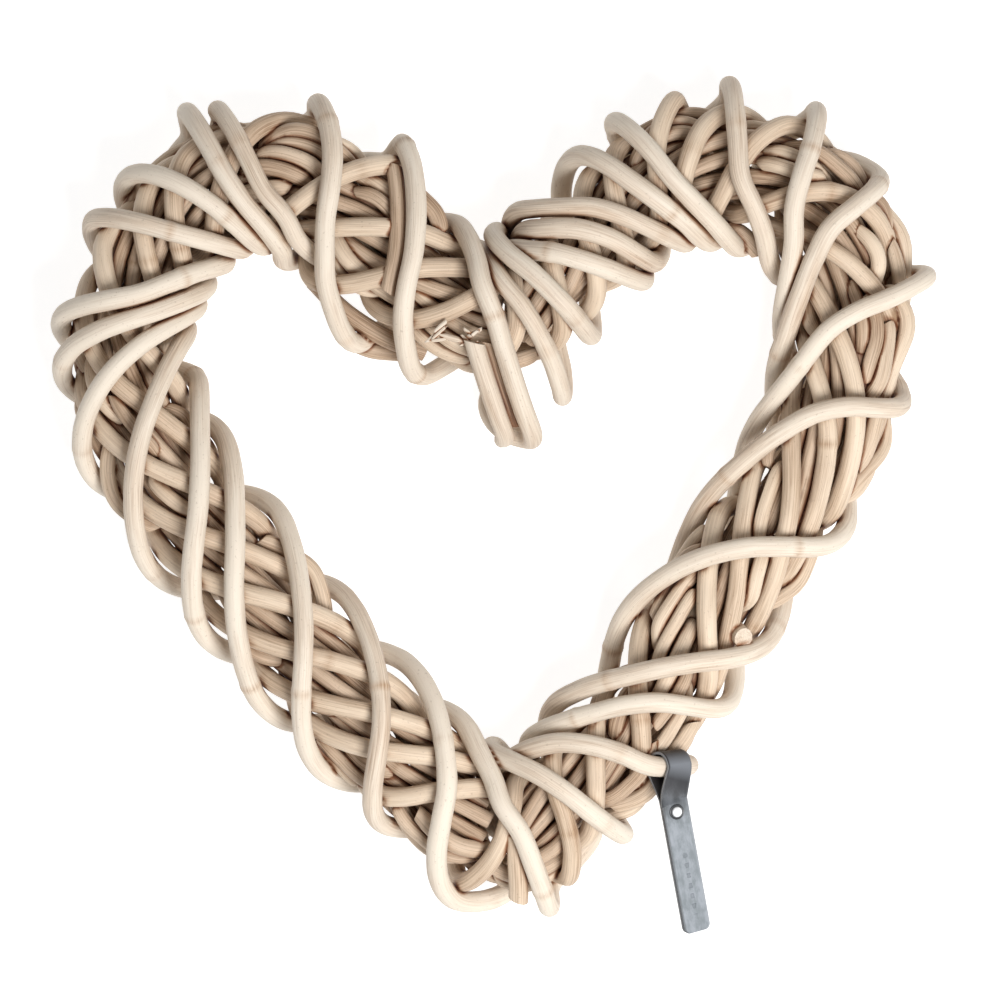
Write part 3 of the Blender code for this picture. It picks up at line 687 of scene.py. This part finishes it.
def leather_strap(lines):
    """The folded strap: a long flat bar with soft edges, bent along its rows."""
    line, wide, out = strap_rows(lines)
    length = length_of(line)
    bpy.ops.object.select_all(action="DESELECT")
    bpy.ops.mesh.primitive_cube_add(size=1.0, location=(0.5, 0, 0))
    strap = bpy.context.object
    strap.name = strap.data.name = "leather_strap"
    bpy.ops.object.transform_apply(location=True, rotation=True, scale=True)
    strap.data.transform(Matrix.Diagonal((length, STRAP_WIDTH, STRAP_THICK, 1.0)))
    cut_along(strap, 1, STRAP_COLUMNS)
    for _ in range(2):
        cut_along(strap, 0, STRAP_CUTS)
    pick(strap, "EDGE", lambda e: e.calc_face_angle(0.0) > math.radians(60))
    bpy.ops.mesh.bevel(offset=STRAP_EDGE, segments=2, affect="EDGES")
    done()
    spots = corners(strap.data)
    run, aside, deep = spots.T
    short = np.clip(STRAP_CORNER - np.minimum(run, length - run), 0.0, None)
    narrow = STRAP_CORNER - np.sqrt(STRAP_CORNER ** 2 - short ** 2)
    shaped = aside * (1.0 - narrow / (0.5 * STRAP_WIDTH))
    at = np.linspace(0.0, length, len(line))
    place, width, outward = (read_off(run, at, values) for values in (line, wide, out))
    across = aside / (0.5 * STRAP_WIDTH)
    cut = ((np.abs(across) > STRAP_CUT_EDGE) | (run < STRAP_CUT_END)
           | (run > length - STRAP_CUT_END))
    remember(strap.data, "strap", "FLOAT_VECTOR", spots)
    remember(strap.data, "down", "FLOAT", 1.0 - 2.0 * run / length)
    remember(strap.data, "across", "FLOAT", across)
    remember(strap.data, "cut", "FLOAT", cut.astype(float))
    remember(strap.data, "outer", "FLOAT", (deep > 0.0).astype(float))
    put_corners(strap.data, place + shaped[:, None] * width + deep[:, None] * outward)
    alone(strap)
    bpy.ops.object.mode_set(mode="EDIT")
    turn_outwards()
    bpy.ops.object.shade_smooth_by_angle(angle=math.radians(50))
    return strap


def snap_button():
    """The snap's cap: a crowned button inside a rolled rim."""
    snap, _, across, up, front = strap_frame()
    bpy.ops.object.select_all(action="DESELECT")
    bpy.ops.mesh.primitive_circle_add(vertices=SNAP_SIDES, radius=SNAP_RADIUS,
                                      fill_type="NGON", location=(0, 0, 0))
    button = bpy.context.object
    button.name = button.data.name = "snap_button"
    pick(button, "FACE", lambda f: True)
    size, high = 1.0, 0.0
    for share, rise in SNAP_SHAPE:
        bpy.ops.mesh.extrude_region_move(
            TRANSFORM_OT_translate={"value": (0, 0, (rise - high) * SNAP_HEIGHT)})
        bpy.ops.transform.resize(value=(share / size, share / size, 1.0))
        size, high = share, rise
    turn_outwards()
    spots = corners(button.data)
    girth = np.hypot(spots[:, 0], spots[:, 1]) / SNAP_RADIUS
    remember(button.data, "rim", "FLOAT", np.interp(girth, SNAP_RIM_SHADE, (0.0, 1.0)))
    matrix = np.eye(4)
    matrix[:3, 0], matrix[:3, 1], matrix[:3, 2] = across, up, front
    matrix[:3, 3] = snap + (STRAP_THICK + 0.5 * STRAP_GAP) * front
    button.data.transform(Matrix(matrix.tolist()))
    alone(button)
    bpy.ops.object.shade_smooth_by_angle(angle=math.radians(35))
    return button


# ---- materials ----

class Finish:
    """A procedural material built on one Principled shader."""

    def __init__(self, name):
        self.material = bpy.data.materials.new(name)
        self.material.use_nodes = True
        self.tree = self.material.node_tree
        self.shader = self.tree.nodes["Principled BSDF"]

    def node(self, kind, **settings):
        made = self.tree.nodes.new(kind)
        for name, value in settings.items():
            setattr(made, name, value)
        return made

    def link(self, out, into):
        self.tree.links.new(out, into)

    def field(self, name, output="Fac"):
        return self.node("ShaderNodeAttribute", attribute_name=name).outputs[output]

    def noise(self, where, scale, detail=3.0, rough=0.55, lift=0.0):
        """Noise between 0 and 1 on a place stretched by the three scales."""
        mapping = self.node("ShaderNodeMapping")
        mapping.inputs["Scale"].default_value = scale
        mapping.inputs["Location"].default_value = (lift, lift, lift)
        self.link(where, mapping.inputs["Vector"])
        texture = self.node("ShaderNodeTexNoise")
        texture.inputs["Scale"].default_value = 1.0
        texture.inputs["Detail"].default_value = detail
        texture.inputs["Roughness"].default_value = rough
        self.link(mapping.outputs["Vector"], texture.inputs["Vector"])
        return texture.outputs["Fac"]

    def math(self, kind, a, b=0.0, c=0.0, clamp=False):
        made = self.node("ShaderNodeMath", operation=kind, use_clamp=clamp)
        for socket, value in zip(made.inputs, (a, b, c)):
            if isinstance(value, (int, float)):
                socket.default_value = value
            else:
                self.link(value, socket)
        return made.outputs[0]

    def sway(self, noise, share, value):
        """The value moved up and down by a share of the noise."""
        return self.math("MULTIPLY_ADD", self.math("SUBTRACT", noise, 0.5), share, value)

    def span(self, value, low, high, to_low=0.0, to_high=1.0):
        """The value moved smoothly from one span to another."""
        made = self.node("ShaderNodeMapRange", interpolation_type="SMOOTHSTEP")
        for name, number in (("From Min", low), ("From Max", high),
                             ("To Min", to_low), ("To Max", to_high)):
            made.inputs[name].default_value = number
        self.link(value, made.inputs["Value"])
        return made.outputs["Result"]

    def mix(self, share, first, second, kind="MIX"):
        """The first colour with a share of the second in it."""
        made = self.node("ShaderNodeMix", data_type="RGBA", blend_type=kind)
        for socket, value in ((made.inputs[0], share), (made.inputs[6], first),
                              (made.inputs[7], second)):
            if isinstance(value, (int, float)):
                socket.default_value = value
            elif isinstance(value, tuple):
                socket.default_value = (*value, 1.0)
            else:
                self.link(value, socket)
        return made.outputs[2]

    def bump(self, height, distance):
        made = self.node("ShaderNodeBump")
        made.inputs["Strength"].default_value = 1.0
        made.inputs["Distance"].default_value = distance
        self.link(height, made.inputs["Height"])
        self.link(made.outputs["Normal"], self.shader.inputs["Normal"])


def rattan(name, dark, light, wash, cover):
    """Peeled rattan under a brushed whitewash, thinned in the hollows partly as painted shade,
    with painted shade darkening the hollows and the seams between rods.
    """
    finish = Finish(name)
    rod = finish.field("rod", "Vector")
    is_open = finish.field("open")
    joint = finish.field("joint")
    tone = finish.field("tone")
    grain = finish.noise(rod, (35.0, 1500.0, 1500.0), 4.0, 0.6)
    patch = finish.noise(rod, (16.0, 110.0, 110.0), 3.0, 0.6, 7.0)
    speck = finish.noise(rod, (650.0, 800.0, 800.0), 2.0, 0.5, 3.0)
    drift = finish.noise(rod, (11.0, 40.0, 40.0), 2.0, 0.5, 11.0)
    wood = finish.mix(finish.span(grain, 0.32, 0.68), dark, light)
    wash_wear_and_shade = finish.sway(patch, 1.3, cover)
    wash_wear_and_shade = finish.sway(grain, 1.0, wash_wear_and_shade)
    wash_wear_and_shade = finish.sway(drift, 0.9, wash_wear_and_shade)
    wash_wear_and_shade = finish.math("MULTIPLY_ADD", tone, 0.14, wash_wear_and_shade)
    wash_wear_and_shade = finish.math("MULTIPLY_ADD", joint, -0.50, wash_wear_and_shade)
    # Less whitewash where other rods close round a point: partly a brush that misses the
    # hollows, partly painted shade.
    wash_thinning_and_shade = finish.span(is_open, 0.38, 0.80)
    wash_wear_and_shade = finish.math("MULTIPLY", wash_wear_and_shade, wash_thinning_and_shade, clamp=True)
    colour = finish.mix(wash_wear_and_shade, wood, wash)
    spots = finish.math("MULTIPLY", finish.span(speck, 0.64, 0.74), 0.28)
    colour = finish.mix(spots, colour, tuple(0.55 * c for c in dark))
    # Painted shade: the colour darkened to brown in the hollows where other rods close round it.
    hollow_painted_shade = finish.span(is_open, 0.10, 0.62)
    colour = finish.mix(hollow_painted_shade, finish.mix(1.0, colour, (0.46, 0.22, 0.10), "MULTIPLY"), colour)
    # Painted shade: dark brown lines where another rod lies close.
    seam_painted_shade = finish.span(finish.field("apart"), 0.02, 0.19)
    seam_shade_colour = finish.mix(1.0, colour, (0.43, 0.225, 0.115), "MULTIPLY")
    colour = finish.mix(seam_painted_shade, seam_shade_colour, colour)
    finish.link(colour, finish.shader.inputs["Base Color"])
    finish.link(finish.span(grain, 0.2, 0.8, 0.55, 0.75), finish.shader.inputs["Roughness"])
    finish.bump(finish.math("MULTIPLY_ADD", patch, 1.5, grain), 0.00032)
    return finish.material


def leather(name):
    """Grained charcoal leather, with a painted sheen across the fold, a painted reflection that
    turns its tail pale blue grey, and painted shade and highlight along its edges.
    """
    finish = Finish(name)
    strap = finish.field("strap", "Vector")
    down, across = finish.field("down"), finish.field("across")
    grain = finish.noise(strap, (1500.0, 1500.0, 1500.0), 4.0, 0.6)
    cloud = finish.noise(strap, (150.0, 240.0, 240.0), 4.0, 0.6, 5.0)
    drag = finish.noise(strap, (110.0, 620.0, 620.0), 3.0, 0.5, 9.0)
    uneven = finish.noise(strap, (430.0, 0.0, 0.0), 1.0, 0.5, 2.0)
    # Painted reflection: the tail, which lies flat facing the lamp, is painted pale blue grey
    # instead of the charcoal round the fold.
    tail = finish.sway(cloud, 0.10, down)
    pale_tail_painted_reflection = finish.span(tail, 0.22, 0.46)
    # Painted sheen: a pale band across the bend of the fold.
    bend = finish.math("SUBTRACT", 1.0, finish.math("ABSOLUTE",
                       finish.math("MULTIPLY_ADD", down, 12.5, -1.5)), clamp=True)
    dark = finish.mix(cloud, (0.018, 0.018, 0.021), (0.040, 0.041, 0.046))
    painted_sheen = finish.mix(finish.math("MULTIPLY", bend, 0.75), dark, (0.22, 0.235, 0.26))
    mottle = finish.math("MULTIPLY_ADD", drag, 0.35, finish.math("MULTIPLY", cloud, 0.65))
    pale = finish.mix(finish.span(mottle, 0.36, 0.64), (0.170, 0.193, 0.208),
                      (0.270, 0.292, 0.322))
    colour = finish.mix(pale_tail_painted_reflection, painted_sheen, pale)
    # Painted shade along the left edge: near black round the fold, dark grey on the tail.
    shade = finish.mix(pale_tail_painted_reflection, (0.012, 0.012, 0.014), (0.070, 0.078, 0.086))
    colour = finish.mix(finish.span(across, -0.78, -0.95), colour, shade)
    # Painted highlight along the right edge.
    bright = finish.mix(pale_tail_painted_reflection, (0.11, 0.115, 0.125), (0.34, 0.36, 0.39))
    colour = finish.mix(finish.span(across, 0.80, 0.95, 0.0, 0.6), colour, bright)
    beside = finish.math("ABSOLUTE", finish.math("SUBTRACT", across, 0.05))
    line = finish.span(finish.math("MULTIPLY_ADD", uneven, -0.24, beside), 0.03, -0.03)
    wave = finish.math("SINE", finish.math("MULTIPLY", down, 118.0))
    strokes = finish.math("MULTIPLY", finish.span(wave, 0.05, 0.35), line)
    strokes = finish.math("MULTIPLY", strokes, finish.span(down, 0.58, 0.60))
    strokes = finish.math("MULTIPLY", strokes, finish.span(down, 0.92, 0.90))
    outer = finish.field("outer")
    strokes = finish.math("MULTIPLY", strokes, outer)
    colour = finish.mix(finish.math("MULTIPLY", strokes, 0.45), colour, (0.10, 0.115, 0.13))
    colour = finish.mix(outer, (0.016, 0.015, 0.016), colour)
    # The cut edges: light grey round the fold and dark along the tail, where the dark is painted
    # shade of the gap beside the back half.
    rim = finish.mix(pale_tail_painted_reflection, (0.20, 0.205, 0.215), (0.050, 0.056, 0.062))
    colour = finish.mix(finish.field("cut"), colour, rim)
    finish.link(colour, finish.shader.inputs["Base Color"])
    finish.link(finish.span(grain, 0.25, 0.75, 0.42, 0.58), finish.shader.inputs["Roughness"])
    finish.bump(finish.math("MULTIPLY_ADD", strokes, -2.5, grain), 0.00010)
    return finish.material


def nickel(name):
    """Bright plated metal with painted shade round its rim and fine scratches."""
    finish = Finish(name)
    place = finish.node("ShaderNodeTexCoord").outputs["Object"]
    scratch = finish.noise(place, (2500.0, 300.0, 300.0), 3.0, 0.6)
    rim = finish.field("rim")
    bright = finish.mix(scratch, (0.86, 0.87, 0.89), (0.97, 0.97, 0.98))
    # Painted shade: the rim and its groove darkened to near black and made less metallic.
    finish.link(finish.mix(rim, bright, (0.045, 0.047, 0.050)),
                finish.shader.inputs["Base Color"])
    finish.link(finish.span(rim, 0.2, 0.8, 0.35, 0.0), finish.shader.inputs["Metallic"])
    finish.link(finish.span(scratch, 0.2, 0.8, 0.24, 0.40), finish.shader.inputs["Roughness"])
    finish.bump(scratch, 0.00002)
    return finish.material


# ---- studio ----

def add_camera():
    """A camera straight above the wreath."""
    data = bpy.data.cameras.new("camera")
    data.lens = LENS
    data.sensor_width = SENSOR
    data.clip_end = VIEW_FAR
    camera = bpy.data.objects.new("camera", data)
    camera.location = (*VIEW_CENTRE, VIEW_HEIGHT + VIEW_WIDTH * LENS / SENSOR)
    bpy.context.scene.collection.objects.link(camera)
    bpy.context.scene.camera = camera


def add_key_light():
    """A round lamp that points at the wreath's middle."""
    data = bpy.data.lights.new("key", "AREA")
    data.shape = "DISK"
    data.size = KEY_SIZE
    data.energy = KEY_POWER
    lamp = bpy.data.objects.new("key", data)
    lamp.location = KEY_PLACE
    lamp.rotation_euler = (-Vector(KEY_PLACE)).to_track_quat("-Z", "Y").to_euler()
    bpy.context.scene.collection.objects.link(lamp)


def add_studio():
    """A white sky, the lamp and a pale floor just below the rods."""
    world = bpy.data.worlds.new("studio")
    world.use_nodes = True
    sky = world.node_tree.nodes["Background"]
    sky.inputs["Color"].default_value = (1, 1, 1, 1)
    sky.inputs["Strength"].default_value = SKY_POWER
    bpy.context.scene.world = world
    add_key_light()
    bpy.ops.object.select_all(action="DESELECT")
    bpy.ops.mesh.primitive_plane_add(size=FLOOR_SIZE, location=(0, 0, -FLOOR_DROP))
    floor = bpy.context.object
    floor.name = "floor"
    finish = Finish("floor")
    finish.shader.inputs["Base Color"].default_value = (FLOOR_GREY,) * 3 + (1,)
    finish.shader.inputs["Roughness"].default_value = 0.9
    finish.shader.inputs["Emission Color"].default_value = (1, 1, 1, 1)
    finish.shader.inputs["Emission Strength"].default_value = FLOOR_GLOW
    floor.data.materials.append(finish.material)
    bpy.context.scene.view_settings.view_transform = "Standard"


# ---- the wreath ----

LUMPS = bpy.data.textures.new("lumps", "CLOUDS")
LUMPS.noise_scale = LUMP_SIZE

# The under and core finishes are darker copies of the wrapping canes' finish, as painted shade
# for the deeper layers of the rope.
RATTAN = {
    "core": rattan("rattan_core", (0.20, 0.115, 0.06), (0.46, 0.31, 0.20),
                   (0.66, 0.52, 0.39), 0.50),
    "under": rattan("rattan_under", (0.27, 0.16, 0.09), (0.54, 0.38, 0.25),
                    (0.73, 0.60, 0.46), 0.66),
    "wrap": rattan("rattan_wrap", (0.33, 0.20, 0.115), (0.60, 0.43, 0.29),
                   (0.745, 0.656, 0.546), 0.80),
}

add_camera()
add_studio()
lines = {}
for node in sorted(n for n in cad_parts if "cane" in n):
    middles, girth = cane_line(node)
    lines[node] = (smooth_line(middles, LINE_STEP), girth)
blank = rod_blank(SIDES, FIRST_CUTS)
rods = []
for number, (node, (line, girth)) in enumerate(lines.items()):
    rod = rattan_rod(blank, node, number, line, girth)
    rod.data.materials.append(RATTAN[node.split("_")[0]])
    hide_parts(node)
    rods.append(rod)
bpy.data.objects.remove(blank)
blank = rod_blank(STRAND_SIDES, STRAND_CUTS)
beside = [rod_beside(lines, *plan) for plan in BESIDE]
laid = [(line, girth, kind, MOST_SLIM["rod"]) for line, girth, kind in beside]
laid += [(line, girth, "wrap", MOST_SLIM["splinter"])
         for line, girth in splinters(beside[0][0])]
laid += [(smooth_line(np.array(knots), STRAND_STEP), girth, kind, MOST_SLIM["rod"])
         for kind, girth, knots in PLACED]
for line, girth, _, _ in laid:
    lines[f"beside_{len(lines)}"] = (line, girth)
laid += [(line, girth, "core" if k % 2 == 0 else "under", MOST_SLIM["strand"])
         for k, (line, girth) in enumerate(lay_strands(lines))]
for number, (line, girth, kind, most_slim) in enumerate(laid, 1):
    piece = strand(blank, line, girth, number, most_slim)
    piece.data.materials.append(RATTAN[kind])
    rods.append(piece)
bpy.data.objects.remove(blank)
for curve in [o for o in bpy.data.objects if o.type == "CURVE"]:
    bpy.data.objects.remove(curve)
for rod in rods:
    rest_on_floor(rod)
wash_and_shade_openness(rods)
for rod in rods:
    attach(rod, "root")

strap = leather_strap(lines)
strap.data.materials.append(leather("tag_leather"))
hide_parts("tag_strap")
button = snap_button()
METAL = nickel("snap_metal")
button.data.materials.append(METAL)
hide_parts("tag_snap_cap")
for piece in (strap, button):
    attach(piece, "root")
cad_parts["tag_snap_ring"].data.materials.clear()
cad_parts["tag_snap_ring"].data.materials.append(METAL)
